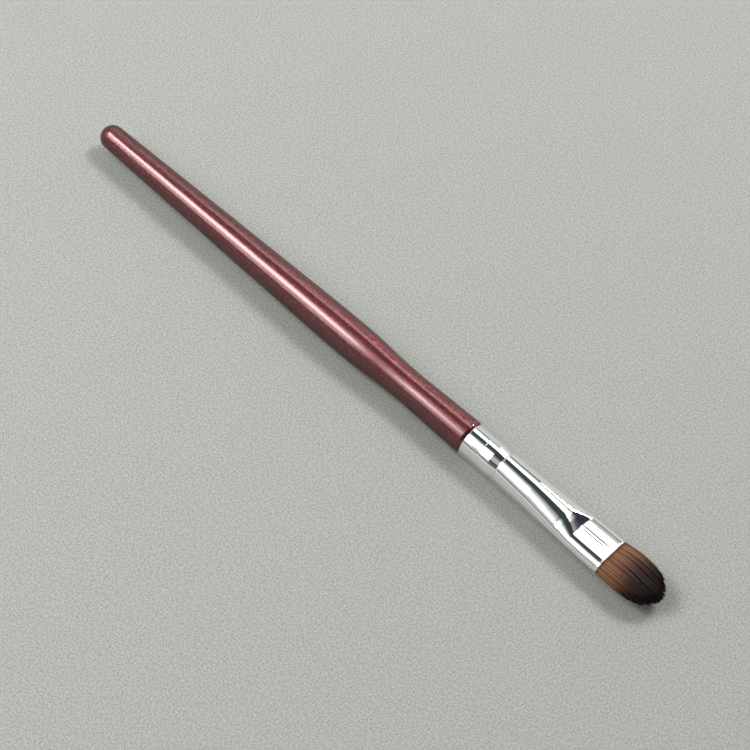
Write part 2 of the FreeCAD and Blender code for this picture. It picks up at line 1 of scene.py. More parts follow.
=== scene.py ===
import json
import bpy
import numpy as np
from mathutils import Matrix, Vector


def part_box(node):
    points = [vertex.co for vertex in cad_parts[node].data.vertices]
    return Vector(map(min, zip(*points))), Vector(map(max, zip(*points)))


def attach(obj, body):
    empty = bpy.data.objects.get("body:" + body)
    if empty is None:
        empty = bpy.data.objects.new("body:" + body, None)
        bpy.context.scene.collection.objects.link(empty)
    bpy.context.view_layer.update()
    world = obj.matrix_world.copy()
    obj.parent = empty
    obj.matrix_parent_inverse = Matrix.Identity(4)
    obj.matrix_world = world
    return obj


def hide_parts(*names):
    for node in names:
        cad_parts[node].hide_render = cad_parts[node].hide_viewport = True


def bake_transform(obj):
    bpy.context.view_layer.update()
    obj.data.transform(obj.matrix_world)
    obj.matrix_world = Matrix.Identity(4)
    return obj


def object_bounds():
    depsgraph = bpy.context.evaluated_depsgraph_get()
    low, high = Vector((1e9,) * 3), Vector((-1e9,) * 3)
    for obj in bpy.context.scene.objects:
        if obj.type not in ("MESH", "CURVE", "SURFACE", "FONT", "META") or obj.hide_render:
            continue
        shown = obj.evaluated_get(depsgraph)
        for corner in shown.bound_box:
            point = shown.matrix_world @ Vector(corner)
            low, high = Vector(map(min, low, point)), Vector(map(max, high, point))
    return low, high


# Eyeshadow brush: a lacquered handle, a plated ferrule and a flat tuft of soft filaments.
# It lies along X with the tip of the tuft at +X, and Z is square to the flats of the ferrule.
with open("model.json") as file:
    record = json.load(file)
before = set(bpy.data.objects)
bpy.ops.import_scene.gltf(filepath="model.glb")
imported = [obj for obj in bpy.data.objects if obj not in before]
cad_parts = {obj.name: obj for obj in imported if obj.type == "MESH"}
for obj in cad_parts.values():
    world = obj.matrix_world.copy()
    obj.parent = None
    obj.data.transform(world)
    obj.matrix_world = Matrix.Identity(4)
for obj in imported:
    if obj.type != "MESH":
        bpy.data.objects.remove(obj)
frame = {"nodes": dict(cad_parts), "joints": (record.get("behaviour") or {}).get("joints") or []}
cad_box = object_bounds()


# Wooden core of the handle. A beech rod is turned on a lathe, with a bare tenon at its front end for
# the ferrule. The lacquer hides it along the handle, and the ferrule hides the tenon.

mm = 0.001


def paint(red, green, blue):
    """Shader colour from display values of 0 to 255, turned into linear light."""
    shown = np.array([red, green, blue]) / 255
    linear = np.where(shown > 0.04045, ((shown + 0.055) / 1.055) ** 2.4, shown / 12.92)
    return (*linear.tolist(), 1.0)


def feed(tree, node, sockets):
    """Give sockets of a node plain values, or link them where another node's output is given."""
    for name, value in sockets.items():
        if isinstance(value, bpy.types.NodeSocket):
            tree.links.new(value, node.inputs[name])
        else:
            node.inputs[name].default_value = value


def add_node(tree, kind, sockets, **settings):
    """New node with its settings and what feeds its sockets."""
    node = tree.nodes.new(kind)
    for name, value in settings.items():
        setattr(node, name, value)
    feed(tree, node, sockets)
    return node


def new_finish(name):
    """New material: returns it with its node tree, its Principled shader and its Object coordinates."""
    finish = bpy.data.materials.new(name)
    finish.use_nodes = True
    tree = finish.node_tree
    place = add_node(tree, "ShaderNodeTexCoord", {}).outputs["Object"]
    return finish, tree, tree.nodes["Principled BSDF"], place


def fade(tree, mask, stops):
    """Colour that runs through stops, given as (place, colour), as a mask goes from 0 to 1."""
    node = add_node(tree, "ShaderNodeValToRGB", {"Fac": mask})
    elements = node.color_ramp.elements
    elements[0].position, elements[0].color = stops[0]
    elements[-1].position, elements[-1].color = stops[-1]
    for place, colour in stops[1:-1]:
        elements.new(place).color = colour
    return node.outputs["Color"]


def make_mottle_group():
    """Shared effect: soft blotches of a given size in metres, as a value between two limits."""
    group = bpy.data.node_groups.new("mottle", "ShaderNodeTree")
    group.interface.new_socket("Vector", in_out="INPUT", socket_type="NodeSocketVector")
    for name in ("Size", "Low", "High"):
        group.interface.new_socket(name, in_out="INPUT", socket_type="NodeSocketFloat")
    group.interface.new_socket("Value", in_out="OUTPUT", socket_type="NodeSocketFloat")
    given = group.nodes.new("NodeGroupInput").outputs
    per_metre = add_node(group, "ShaderNodeMath", {0: 1.0, 1: given["Size"]}, operation="DIVIDE")
    noise = add_node(group, "ShaderNodeTexNoise",
                     {"Vector": given["Vector"], "Scale": per_metre.outputs[0], "Detail": 3.0})
    limited = add_node(group, "ShaderNodeMapRange",
                       {"Value": noise.outputs["Fac"], "From Min": 0.3, "From Max": 0.7,
                        "To Min": given["Low"], "To Max": given["High"]})
    add_node(group, "NodeGroupOutput", {"Value": limited.outputs["Result"]})
    return group


mottle_group = make_mottle_group()


def mottle(tree, place, size, low=0.0, high=1.0):
    """The shared blotches, placed in one material; without limits they are a mask from 0 to 1."""
    node = add_node(tree, "ShaderNodeGroup", {}, node_tree=mottle_group)
    feed(tree, node, {"Vector": place, "Size": size, "Low": low, "High": high})
    return node.outputs["Value"]


def raise_surface(tree, height, depth):
    """Normal of a surface that is raised by a height mask, over a depth in metres."""
    node = add_node(tree, "ShaderNodeBump", {"Height": height, "Distance": depth})
    return node.outputs["Normal"]


def stretched(tree, place, share):
    """Coordinates that run slower along the brush, by a share, so that a pattern is drawn out that way."""
    node = add_node(tree, "ShaderNodeMapping", {"Vector": place, "Scale": (share, 1.0, 1.0)})
    return node.outputs["Vector"]


def dress(node, finish):
    """Put a finish on a piece of the frame."""
    for slot in frame["nodes"][node].material_slots:
        slot.material = finish


def make_beech():
    """Pale wood with a grain drawn out along the handle."""
    finish, tree, shader, place = new_finish("turned_beech")
    grain = mottle(tree, stretched(tree, place, share=0.05), size=0.9 * mm)
    feed(tree, shader, {
        "Base Color": fade(tree, grain, [(0.0, paint(168, 122, 78)), (1.0, paint(214, 176, 128))]),
        "Roughness": mottle(tree, place, size=2 * mm, low=0.55, high=0.8),
        "Normal": raise_surface(tree, grain, depth=0.03 * mm)})
    return finish


dress("handle_core", make_beech())


# Lacquer coat. The sanded wood is dipped in wine-red lacquer full of fine pearl flakes, then in a clear
# gloss that rounds the butt and the shoulder at the ferrule. The coat never comes off the wood.

axis_z = frame["joints"][0]["pos_m"][2]
lacquer_low, lacquer_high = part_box("handle_lacquer")
butt_x = lacquer_low.x
shoulder_x = lacquer_high.x
belly_radius = lacquer_high.z - axis_z
butt_radius = 2.7 * mm
belly_rear_bend = 600 * mm
belly_front_bend = 90 * mm
belly_to_neck = 15.3 * mm
neck_depth = 0.59 * mm
neck_to_ferrule = 16.5 * mm
shoulder_radius = 3.8 * mm
shoulder_rounding = 1.6 * mm
shoulder_end_angle = np.radians(55)
lacquer_thickness = 0.12 * mm
tenon_radius = 3.3 * mm
handle_columns = 96
flake_size = 0.17 * mm
flake_lean = 0.3
gloss_wave_size = 1.5 * mm


def arc(centre, radius, first, last, count):
    """Evenly spaced points of a circle from one angle to another, as (along, out) pairs."""
    turn = np.linspace(first, last, count)
    return np.stack([centre[0] + radius * np.cos(turn), centre[1] + radius * np.sin(turn)], axis=1)


def touching_angle(start, end, difference):
    """Angle of the outward normal of a line that touches two circles, from their centres and radii."""
    run = np.subtract(end, start)
    return np.arctan2(run[1], run[0]) + np.arccos(difference / np.hypot(*run))


def handle_outline(inset):
    """Half outline of the handle, sunk by inset, from the butt on the axis to the end face.

    A butt arc, a straight taper, a long and a short belly arc, a hollow neck arc, a straight rise and
    the shoulder's rounding, each tangent to the next; the straight runs join the ends of the arcs.
    """
    neck_x = shoulder_x - neck_to_ferrule
    belly_x = neck_x - belly_to_neck
    neck_bend = (belly_to_neck ** 2 + neck_depth ** 2) / (2 * neck_depth) - belly_front_bend
    butt = (butt_x + butt_radius, 0)
    rear = (belly_x, belly_radius - belly_rear_bend)
    front = (belly_x, belly_radius - belly_front_bend)
    neck = (neck_x, belly_radius - neck_depth + neck_bend)
    shoulder = (shoulder_x - shoulder_rounding * np.cos(shoulder_end_angle),
                shoulder_radius - shoulder_rounding)
    taper = touching_angle(butt, rear, butt_radius - belly_rear_bend)
    fall = np.arctan2(neck[1] - front[1], neck[0] - front[0])
    rise = touching_angle(neck, shoulder, -neck_bend - shoulder_rounding)
    return np.concatenate([
        arc(butt, butt_radius - inset, np.pi, taper, count=28),
        arc(rear, belly_rear_bend - inset, taper, np.pi / 2, count=16)[:-1],
        arc(front, belly_front_bend - inset, np.pi / 2, fall, count=14),
        arc(neck, neck_bend + inset, fall + np.pi, rise + np.pi, count=18)[1:],
        arc(shoulder, shoulder_rounding - inset, rise, shoulder_end_angle, count=12)])


def turned_rings(outline, around):
    """Rings of a turned piece: each outline point carried round the brush's axis."""
    turn = np.linspace(0, 2 * np.pi, around, endpoint=False)
    along = np.repeat(outline[:, :1], around, axis=1)
    return np.stack([along, outline[:, 1:] * np.cos(turn), axis_z + outline[:, 1:] * np.sin(turn)], axis=2)


def make_piece(name, points, faces, finish):
    """Piece from points and faces, shaded smooth, in one finish."""
    mesh = bpy.data.meshes.new(name)
    mesh.from_pydata(points.tolist(), [], faces)
    mesh.shade_smooth()
    mesh.materials.append(finish)
    piece = bpy.data.objects.new(name, mesh)
    bpy.context.scene.collection.objects.link(piece)
    return piece


def skin(name, rings, finish, loop=False):
    """Piece whose surface runs from ring to ring and round each ring, facing outwards.

    A loop joins the last ring to the first. Otherwise a point at the middle of each end ring closes it.
    """
    count, around = rings.shape[:2]
    points = rings.reshape(-1, 3)
    index = np.arange(count * around).reshape(count, around)
    upper = np.roll(index, -1, axis=0) if loop else index[1:]
    lower = index if loop else index[:-1]
    quads = np.stack([lower, np.roll(lower, -1, axis=1), np.roll(upper, -1, axis=1), upper], axis=2)
    faces = quads.reshape(-1, 4).tolist()
    if not loop:
        first, last = count * around, count * around + 1
        points = np.concatenate([points, rings[[0, -1]].mean(axis=1)])
        start, end = index[0], index[-1]
        faces += np.stack([np.full(around, first), np.roll(start, -1), start], axis=1).tolist()
        faces += np.stack([np.full(around, last), end, np.roll(end, -1)], axis=1).tolist()
    return make_piece(name, points, faces, finish)


def make_pearl_lacquer():
    """Clear gloss over wine-red pearl lacquer.

    Each pearl flake is a cell with its own tint and tilt. Its normal is the surface's, with the cell's
    random colour, counted from mid grey, added to it by the flakes' lean.
    """
    finish, tree, shader, place = new_finish("pearl_lacquer")
    flakes = add_node(tree, "ShaderNodeTexVoronoi", {"Vector": place, "Scale": 1 / flake_size})
    flake_parts = add_node(tree, "ShaderNodeSeparateColor", {"Color": flakes.outputs["Color"]})
    tint = fade(tree, flake_parts.outputs["Red"], [
        (0.0, paint(85, 38, 40)), (0.7, paint(101, 47, 49)), (1.0, paint(132, 71, 71))])
    tilt = add_node(tree, "ShaderNodeVectorMath",
                    {0: flakes.outputs["Color"], 1: (0.5, 0.5, 0.5)}, operation="SUBTRACT")
    lean = add_node(tree, "ShaderNodeVectorMath",
                    {0: tilt.outputs[0], "Scale": flake_lean}, operation="SCALE")
    level = add_node(tree, "ShaderNodeNewGeometry", {}).outputs["Normal"]
    leaning = add_node(tree, "ShaderNodeVectorMath", {0: level, 1: lean.outputs[0]}, operation="ADD")
    flake_normal = add_node(tree, "ShaderNodeVectorMath", {0: leaning.outputs[0]}, operation="NORMALIZE")
    gloss_noise = add_node(tree, "ShaderNodeTexNoise",
                           {"Vector": place, "Scale": 1 / gloss_wave_size, "Detail": 3.0})
    gloss_wave = add_node(tree, "ShaderNodeMapRange",
                          {"Value": gloss_noise.outputs["Fac"], "From Min": 0.3, "From Max": 0.7})
    feed(tree, shader, {
        "Base Color": tint,
        "Metallic": mottle(tree, place, size=0.4 * mm, low=0.95, high=1.0),
        "Roughness": mottle(tree, place, size=3 * mm, low=0.38, high=0.42),
        "Specular IOR Level": 0.0,
        "Specular Tint": paint(70, 40, 40),
        "Normal": flake_normal.outputs[0],
        "Coat Weight": 1.0,
        "Coat IOR": 1.55,
        "Coat Roughness": 0.035,
        "Coat Normal": raise_surface(tree, gloss_wave.outputs["Result"], depth=0.0015 * mm)})
    return finish


outer_outline = handle_outline(0)
inner_outline = handle_outline(lacquer_thickness)
tenon_edge = [[shoulder_x, tenon_radius], [shoulder_x - lacquer_thickness, tenon_radius]]
coat_outline = np.concatenate([outer_outline[1:], tenon_edge, inner_outline[:0:-1]])
coat = skin("lacquered_handle", turned_rings(coat_outline, handle_columns), make_pearl_lacquer())
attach(coat, "handle_and_ferrule")
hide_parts("handle_lacquer")


# Glue in the joint. A film of cream wood glue fills the gap between the tenon and the ferrule,
# squeezed thin by the rolled crimp.


def make_glue():
    """Cream glue with cloudy streaks from being squeezed."""
    finish, tree, shader, place = new_finish("wood_glue")
    cloud = mottle(tree, place, size=1.2 * mm)
    feed(tree, shader, {
        "Base Color": fade(tree, cloud, [(0.0, paint(214, 200, 160)), (1.0, paint(232, 222, 190))]),
        "Roughness": mottle(tree, place, size=0.8 * mm, low=0.3, high=0.5),
        "Normal": raise_surface(tree, cloud, depth=0.02 * mm)})
    return finish


dress("handle_adhesive", make_glue())


# Ferrule. A thin seamless tube, plated bright, is glued and crimped on the tenon. One fine line and the
# crimp are rolled into its round barrel, and its front is pressed flat to a wide mouth with a turned lip.

ferrule_low, ferrule_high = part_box("ferrule")
rear_x = ferrule_low.x
mouth_x = ferrule_high.x
ferrule_wall = 0.3 * mm
lip_radius = ferrule_wall / 2


def rounded_line(places, values, rounding, at):
    """Straight runs through points, their corners rounded by a mean over a short span to each side."""
    sample_count = 13
    offsets = np.linspace(-rounding, rounding, sample_count)
    return np.interp(at[:, None] + offsets, places, values).mean(axis=1)


def curve_through(places, values, at):
    """Smooth curve through points: cubic spans, with slopes that never overshoot the runs beside them."""
    places, values = np.array(places), np.array(values)
    runs = np.diff(values) / np.diff(places)
    before, after = runs[:-1], runs[1:]
    total = before + after
    mean = np.where(before * after > 0, 2 * before * after / np.where(total == 0, 1, total), 0)
    slopes = np.concatenate([runs[:1], mean, runs[-1:]])
    span = np.clip(np.searchsorted(places, at) - 1, 0, len(runs) - 1)
    width = places[span + 1] - places[span]
    share = np.clip((at - places[span]) / width, 0, 1)
    hold = (1 + 2 * share) * (1 - share) ** 2
    lead = share * (1 - share) ** 2
    settle = share ** 2 * (share - 1)
    return (hold * values[span] + (1 - hold) * values[span + 1]
            + width * (lead * slopes[span] + settle * slopes[span + 1]))


# Barrel, from its rear end: place past the rear end and radius. A crowned band, the fine line, a band
# that rises to the crimp, the crimp's long flank and its steep front wall.
barrel_places = np.array([0.0, 0.1, 2.0, 4.05, 4.3, 6.7, 8.85, 9.05, 9.2]) * mm
barrel_radii = np.array([3.62, 3.69, 3.70, 3.65, 3.71, 3.77, 3.44, 3.68, 3.71]) * mm
barrel_rounding = 0.05 * mm
# Press, in front of the crimp: places past the rear end, and there the half width, the half thickness and
# the width of the level panel. The panel is the middle share of each half ring, drawn out sideways.
press_start = 9.2 * mm
wide_places = np.array([9.2, 11.7, 17.7, 23.7, 29.7, 35.0, 37.2]) * mm
half_widths = np.array([3.71, 3.78, 4.0, 4.33, 4.70, 4.88, 4.9]) * mm
thick_places = np.array([9.2, 11.7, 17.0, 21.7, 24.7, 26.0, 27.0, 29.2, 37.2]) * mm
half_thicknesses = np.array([3.71, 3.62, 3.44, 3.09, 2.82, 2.65, 2.44, 1.9, 1.9]) * mm
panel_places = np.array([9.2, 25.2, 26.8, 29.2, 37.2]) * mm
panel_widths = np.array([0.0, 0.0, 1.8, 5.2, 5.2]) * mm
press_rounding = 0.25 * mm
panel_share = 0.17
# Low strip raised along the middle of each panel; its two flanks show as fine lines.
ridge_height = 0.055 * mm
ridge_half_width = 0.36 * mm
ridge_flank = 0.17 * mm
ridge_start = 28.9 * mm
ridge_end = 36.0 * mm
ridge_fade = 1 * mm
# Lip of the mouth, curled outwards.
lip_flare = 0.10 * mm
lip_start = 36.66 * mm
lip_length = 0.42 * mm
lip_curl = 1.3


def ferrule_section(along, inset, across, up):
    """Rings of the tube at places past its rear end, sunk by inset from the outside.

    Each ring is a unit circle, given by across and up, stretched to the half width and the thickness.
    The middle share of it is drawn out further sideways into the level panel, with a soft bend at each
    end, and the strip along the panel's middle is raised on it.
    """
    inset = inset - lip_flare * np.clip((along - lip_start) / lip_length, 0, 1) ** lip_curl
    barrel = rounded_line(barrel_places, barrel_radii, barrel_rounding, along)
    pressed = along > press_start
    half_width = np.where(pressed, curve_through(wide_places, half_widths, along), barrel) - inset
    flattened = rounded_line(thick_places, half_thicknesses, press_rounding, along)
    thickness = np.where(pressed, flattened, barrel) - inset
    panel = np.where(pressed, rounded_line(panel_places, panel_widths, press_rounding, along), 0) / 2
    half_width, thickness, panel = half_width[:, None], thickness[:, None], panel[:, None]
    draw_out = np.sqrt((1 + panel_share ** 2) / (across ** 2 + panel_share ** 2))
    y = (panel * draw_out + half_width - panel) * across
    z = thickness * up
    near_ridge = 0.5 * (np.tanh((ridge_half_width - np.abs(y)) / ridge_flank) + 1)
    along_ridge = np.clip(np.minimum(along - ridge_start, ridge_end - along) / ridge_fade, 0, 1)[:, None]
    z = z + np.sign(z) * ridge_height * near_ridge * along_ridge
    x = np.repeat(rear_x + along[:, None], len(across), axis=1)
    return np.stack([x, y, axis_z + z], axis=2)


def make_plated_metal():
    """Bright plating: a clear mirror with faint handling smears and slight waves from the rolling."""
    finish, tree, shader, place = new_finish("bright_plating")
    drawn = stretched(tree, place, share=0.25)
    smear = mottle(tree, place, size=2.5 * mm)
    wave = mottle(tree, drawn, size=3 * mm)
    feed(tree, shader, {
        "Base Color": fade(tree, smear, [(0.0, paint(240, 242, 242)), (1.0, paint(248, 248, 246))]),
        "Metallic": 1.0,
        "Roughness": mottle(tree, drawn, size=0.7 * mm, low=0.02, high=0.05),
        "Normal": raise_surface(tree, wave, depth=0.001 * mm)})
    return finish


tube_length = mouth_x - rear_x
lip_ring_count = 12
bore_ring_count = 30
# Rings along the outside: where each run of them ends and how many it has. They lie close together at the
# rolled line and the crimp, on the ramp to the panel and at the lip.
run_ends = np.array([0, 9.4 * mm, 24.5 * mm, 30 * mm, 36.4 * mm, tube_length - lip_radius])
run_counts = [150, 40, 50, 10, 16]
runs = [np.linspace(start, end, count)[1:] for start, end, count in zip(run_ends, run_ends[1:], run_counts)]
outside_places = np.concatenate([run_ends[:1], *runs])
lip_turn = np.linspace(0, np.pi, lip_ring_count)
lip_places = tube_length - lip_radius + lip_radius * np.sin(lip_turn)
lip_insets = lip_radius - lip_radius * np.cos(lip_turn)
inside_places = np.linspace(tube_length - lip_radius, 0, bore_ring_count)[1:]
wall_places = np.concatenate([outside_places, lip_places[1:], inside_places])
wall_insets = np.concatenate([0 * outside_places, lip_insets[1:], 0 * inside_places + ferrule_wall])
# Points round a ring: in even turns round its ends, and crowded towards the middle of each panel.
end_columns = 40
panel_columns = 65
panel_crowding = 1.5
end_turn = np.linspace(0, np.arccos(panel_share), end_columns)
level_steps = np.linspace(1, -1, panel_columns)[1:-1]
level_across = panel_share * np.sign(level_steps) * np.abs(level_steps) ** panel_crowding
upper_across = np.concatenate([np.cos(end_turn), level_across, -np.cos(end_turn[::-1])])
round_across = np.concatenate([upper_across, -upper_across[1:-1]])
upper_up = np.sqrt(1 - upper_across ** 2)
round_up = np.concatenate([upper_up, -upper_up[1:-1]])
tube_rings = ferrule_section(wall_places, wall_insets, round_across, round_up)
tube = skin("plated_ferrule", tube_rings, make_plated_metal(), loop=True)
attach(tube, "handle_and_ferrule")
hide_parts("ferrule")


# Resin plug and thread. The roots of the filaments are tied with a few turns of thread and cast in amber
# resin inside the barrel, so that no filament pulls out.


def make_resin():
    """Amber resin with clouds of fine bubbles."""
    finish, tree, shader, place = new_finish("cast_resin")
    cloud = mottle(tree, place, size=0.9 * mm)
    feed(tree, shader, {
        "Base Color": fade(tree, cloud, [(0.0, paint(150, 108, 52)), (1.0, paint(188, 146, 84))]),
        "Roughness": mottle(tree, place, size=0.4 * mm, low=0.12, high=0.3),
        "Normal": raise_surface(tree, cloud, depth=0.01 * mm)})
    return finish


def make_thread():
    """Cotton thread with a fine twist."""
    finish, tree, shader, place = new_finish("cotton_thread")
    waves = add_node(tree, "ShaderNodeTexWave",
                     {"Vector": place, "Scale": 1 / (0.4 * mm), "Distortion": 1.0})
    twist = waves.outputs["Fac"]
    feed(tree, shader, {
        "Base Color": fade(tree, twist, [(0.0, paint(204, 198, 184)), (1.0, paint(232, 228, 218))]),
        "Roughness": mottle(tree, place, size=0.3 * mm, low=0.7, high=0.9),
        "Normal": raise_surface(tree, twist, depth=0.02 * mm)})
    return finish


dress("root_resin", make_resin())
dress("root_thread", make_thread())


# Filaments. Fine tapered synthetic hairs, tan at the root and dyed near black at the tip, run unbroken from
# the resin through the flat mouth. They swell out of it, thin to an edge and end in a round tip.

tip_x = cad_box[1].x
free_length = tip_x - mouth_x
held_length = 2.5 * mm
hair_count = 7600
draw = np.random.default_rng(seed=41)
# Section of the bundle: powers of its shares of width and thickness, which make its corners fuller.
bundle_powers = np.array([4.0, 3.0])
# Bundle along its length: places past the mouth, with the half width and the half thickness there.
width_places = np.array([-2.5, 0, 0.5, 1.5, 4.5, 8, 13]) * mm
tuft_half_widths = np.array([4.45, 4.5, 4.6, 4.7, 4.82, 4.75, 4.6]) * mm
thickness_places = np.array([-2.5, 0, 0.5, 2, 4, 8, 13]) * mm
tuft_half_thicknesses = np.array([1.42, 1.42, 1.5, 1.8, 1.98, 1.55, 0.65]) * mm
# Round tip: how far past the mouth a hair ends, by its share of the half width, and how much sooner it
# ends on the two faces of the tuft.
tip_shares = np.array([0, 0.13, 0.43, 0.63, 0.74, 0.86, 0.94, 1.01])
tip_lengths = np.array([13.2, 13.1, 12.3, 11.5, 10.8, 10.0, 8.6, 6.4]) * mm
face_shortening = 0.5 * mm
# One hair: its thickness, its taper over the last share of its length, and how it differs from the next.
hair_radius = 0.066 * mm
hair_point_radius = 0.012 * mm
taper_start = 0.55
taper_power = 1.5
hair_rings = 8
ring_crowding = 1.25
hair_sides = 3
hair_shortening = 0.15 * mm
stray_across = 0.05 * mm
stray_up = 0.04 * mm
# Locks: hairs side by side in one layer that gather to a point. The locks are shifted from layer to layer,
# and each has its own length and lift.
layer_count = 6
lock_reach = 4.8 * mm
lock_width = 0.42 * mm
lock_shift = 0.37
lock_count = 4000
locks_per_layer = 97
first_lock = 500
lock_length_spread = 0.2 * mm
lock_lift_spread = 0.10 * mm
lock_pointing = 2.6
gather_length = 6 * mm
gather_power = 1.5
gather_share = 0.35
# Dye: where it starts past the mouth, how much further out it starts at the edges, how far on its scale
# from tan to black it is there, and how much further it gets along a run of hair.
dye_start_middle = 2.7 * mm
dye_start_edge = 3.0 * mm
dye_start_spread = 0.5 * mm
dye_at_start = 0.35
dye_run = 5.5 * mm
dye_over_run = 0.6
dye_limits = (0.02, 0.98)
# Tone: painted shade keeps the hairs between the locks dark, and a painted highlight lightens the crest of
# each lock, more so in the light locks.
plain_tone = 0.16
lock_tones = [-0.9, 0.1, 0.6, 1.0]
lock_tone_weight = 0.07
painted_highlight_half_width = 0.17 * lock_width
painted_highlight_tone = 0.74
painted_highlight_swing = 0.35
hair_tone_spread = 0.14
tone_limits = (0.04, 0.96)
chart_gap = 0.01


def even_scatter(count):
    """Evenly spread places from -1 to 1 in a square: whole steps of two irrational shares, wrapped."""
    plastic_ratio = 1.324717957244746
    steps = plastic_ratio ** np.array([-1.0, -2.0])
    return 2 * ((np.arange(1, count + 1)[:, None] * steps) % 1) - 1


def spikes(name, points, finish):
    """Piece of many spikes from their points, by hair, ring and side, with a face at each end of a hair."""
    index = np.arange(points[..., 0].size).reshape(points.shape[:3])
    lower, upper = index[:, :-1], index[:, 1:]
    quads = np.stack([lower, np.roll(lower, -1, axis=2), np.roll(upper, -1, axis=2), upper], axis=3)
    caps = np.concatenate([index[:, 0, ::-1], index[:, -1]])
    return make_piece(name, points.reshape(-1, 3), quads.reshape(-1, 4).tolist() + caps.tolist(), finish)


def chart_colours(mesh, dye, tone):
    """Map of the hairs' colours: the dye of each ring across it, and up it the tone of each hair, which
    holds painted shade and highlight.

    A hair's sides lie a small gap apart on the map, so that every face has some area there.
    """
    shape = (*dye.shape, hair_sides)
    side_tone = tone + chart_gap * (np.arange(hair_sides) - 1)
    chart = np.stack([np.broadcast_to(dye[:, :, None], shape),
                      np.broadcast_to(side_tone[:, None, :], shape)], axis=3).reshape(-1, 2)
    corners = np.empty(len(mesh.loops), dtype=np.int32)
    mesh.loops.foreach_get("vertex_index", corners)
    mesh.uv_layers.new(name="OFBake").uv.foreach_set("vector", chart[corners].astype(np.float32).ravel())


def make_hairs(name, spots, finish):
    """Piece of many hairs, each a thin three-sided spike along the bundle.

    A hair keeps its share of the bundle's width and thickness all along, gathers with its neighbours into
    locks that have their own tone and length, strays a little, and ends on the tuft's round outline. Its
    tone also carries painted shade between the locks and a painted highlight on each lock's crest.
    """
    count = len(spots)
    across, up = spots[:, :1], spots[:, 1:]
    layer = np.floor(layer_count / 2 * (up + 1))
    lock_place = across * lock_reach / lock_width + lock_shift * layer
    lock = np.floor(lock_place)
    off_middle = (lock_place - lock - 0.5) * lock_width
    lock_number = (np.abs(lock + locks_per_layer * layer + first_lock) % lock_count).astype(int)
    lock_tone = draw.choice(lock_tones, lock_count)[lock_number]
    lock_length = draw.normal(0, lock_length_spread, lock_count)[lock_number]
    lock_lift = draw.normal(0, lock_lift_spread, lock_count)[lock_number]

    end = curve_through(tip_shares, tip_lengths, np.abs(across)) - face_shortening * up ** 2
    end = end + lock_length - lock_pointing * np.abs(off_middle)
    end = end - np.abs(draw.normal(0, hair_shortening, (count, 1)))
    end = np.minimum(end, free_length)
    share = 1 - (1 - np.linspace(0, 1, hair_rings)) ** ring_crowding
    out = -held_length + (end + held_length) * share
    stray = np.clip(out / free_length, 0, 1) ** 2
    gather = np.clip(out / gather_length, 0, 1) ** gather_power
    y = across * curve_through(width_places, tuft_half_widths, out) - gather_share * off_middle * gather
    y = y + draw.normal(0, stray_across, (count, 1)) * stray
    z = up * curve_through(thickness_places, tuft_half_thicknesses, out) + lock_lift * gather
    z = z + draw.normal(0, stray_up, (count, 1)) * stray

    thinning = np.clip((share - taper_start) / (1 - taper_start), 0, 1) ** taper_power
    radius = hair_radius + (hair_point_radius - hair_radius) * thinning
    side = np.arange(hair_sides) * 2 * np.pi / hair_sides + draw.uniform(0, 2 * np.pi, (count, 1))
    points = np.stack([
        np.repeat((mouth_x + out)[:, :, None], hair_sides, axis=2),
        y[:, :, None] + radius[None, :, None] * np.cos(side)[:, None, :],
        axis_z + z[:, :, None] + radius[None, :, None] * np.sin(side)[:, None, :]], axis=3)
    piece = spikes(name, points, finish)

    dye_start = dye_start_middle + dye_start_edge * across ** 2
    dye_start = dye_start + draw.normal(0, dye_start_spread, (count, 1))
    dye = np.clip((out - dye_start) / dye_run * dye_over_run + dye_at_start, *dye_limits)
    # Painted highlight on the middle of each lock; the hairs between the locks keep the darker tone as
    # painted shade.
    painted_highlight = np.exp(-(off_middle / painted_highlight_half_width) ** 2)
    painted_highlight = painted_highlight * (1 + painted_highlight_swing * lock_tone)
    tone = plain_tone + lock_tone_weight * lock_tone + painted_highlight_tone * painted_highlight
    tone = np.clip(tone + draw.normal(0, hair_tone_spread, (count, 1)), *tone_limits)
    chart_colours(piece.data, dye, tone)
    return piece


def make_hair_finish():
    """Satin hair: its dye runs along the map's first direction, and its tone, with the locks' painted shade
    and highlight, along the second.
    """
    finish, tree, shader, place = new_finish("dyed_filament")
    chart = add_node(tree, "ShaderNodeUVMap", {}, uv_map="OFBake")
    chart_parts = add_node(tree, "ShaderNodeSeparateXYZ", {"Vector": chart.outputs["UV"]})
    dye = fade(tree, chart_parts.outputs["X"], [
        (0.0, paint(146, 104, 72)), (0.3, paint(130, 86, 58)), (0.5, paint(96, 59, 43)),
        (0.72, paint(56, 32, 29)), (1.0, paint(36, 21, 22))])
    tone = add_node(tree, "ShaderNodeMapRange",
                    {"Value": chart_parts.outputs["Y"], "To Min": 0.2, "To Max": 1.8})
    toned = add_node(tree, "ShaderNodeHueSaturation", {"Color": dye, "Value": tone.outputs["Result"]})
    feed(tree, shader, {
        "Base Color": toned.outputs["Color"],
        "Specular IOR Level": 0.25,
        "Roughness": mottle(tree, place, size=0.5 * mm, low=0.38, high=0.55)})
    return finish


hair_spots = even_scatter(hair_count)
hair_spots = hair_spots[(np.abs(hair_spots) ** bundle_powers).sum(axis=1) < 1]
hair_finish = make_hair_finish()
for half, chosen in (("upper", hair_spots[:, 1] > 0), ("lower", hair_spots[:, 1] <= 0)):
    hairs = make_hairs(f"tuft_hairs_{half}", hair_spots[chosen], hair_finish)
    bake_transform(hairs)
    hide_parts("bristle_tuft")


# Held length of the filaments: the same hairs, packed tight in the bore from the resin to the mouth.
# They show as a bundle whose outside is grooved by the outermost hairs.

root_low, root_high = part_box("bristle_roots")
tied_radius = 2.86 * mm
resin_end = 43.1 * mm
spread_length = 0.4 * mm
bundle_gap = 0.36 * mm
bundle_ring_count = 60
groove_depth = 0.03 * mm
groove_count = 60
columns_per_groove = 4


